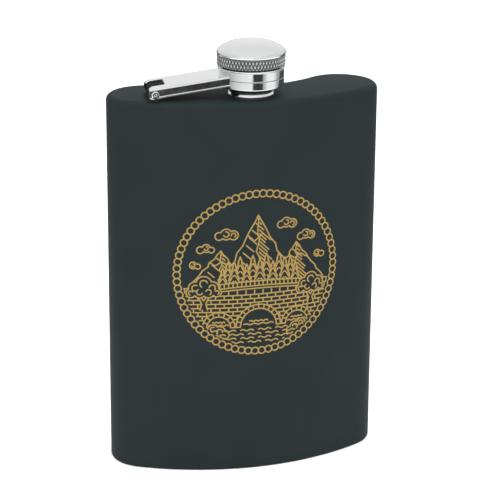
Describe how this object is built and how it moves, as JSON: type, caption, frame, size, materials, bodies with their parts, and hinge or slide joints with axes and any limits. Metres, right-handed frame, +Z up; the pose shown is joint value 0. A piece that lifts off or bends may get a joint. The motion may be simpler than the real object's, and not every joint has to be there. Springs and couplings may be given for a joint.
{
  "type": "hip flask",
  "caption": "Curved metal hip flask with a matt black coat, a printed medallion on its front and a knurled screw cap held captive by a hinged arm.",
  "frame": {"origin": "on the surface that the flask stands on, under the middle of its bounding box", "axes": "+Z up along the body to the cap, +X along the width away from the hinge, -Y out of the convex front"},
  "size_m": [0.095, 0.0348, 0.1505],
  "materials": {
    "black_coat": "matt black coat over steel",
    "bright_steel": "polished",
    "dark_steel": "dark, unpolished",
    "black_plastic": "moulded",
    "silicone": "soft, milky"
  },
  "bodies": {
    "flask": {"body_shell": "black_coat", "shoulder_plate": "black_coat", "base_plate": "black_coat", "neck_spout": "dark_steel", "neck_flange": "bright_steel", "hinge_bracket": "dark_steel"},
    "arm": {"captive_arm": "bright_steel", "hinge_pin": "bright_steel", "collar_lower_ring": "bright_steel", "collar_upper_ring": "bright_steel", "swivel_washer": "bright_steel"},
    "cap": {"cap_shell": "bright_steel", "cap_sleeve": "dark_steel", "thread_insert": "black_plastic", "seal_gasket": "silicone"}
  },
  "joints": [
    {"name": "arm_hinge", "type": "hinge", "parent": "flask", "child": "arm", "pos_m": [-0.033, -0.00203, 0.1345], "axis": [-0.1015, -0.9948, 0], "range_deg": [0, 165]},
    {"name": "cap_spin", "type": "hinge", "parent": "arm", "child": "cap", "pos_m": [0, -0.0054, 0.142], "axis": [0, 0, 1], "continuous": true}
  ]
}
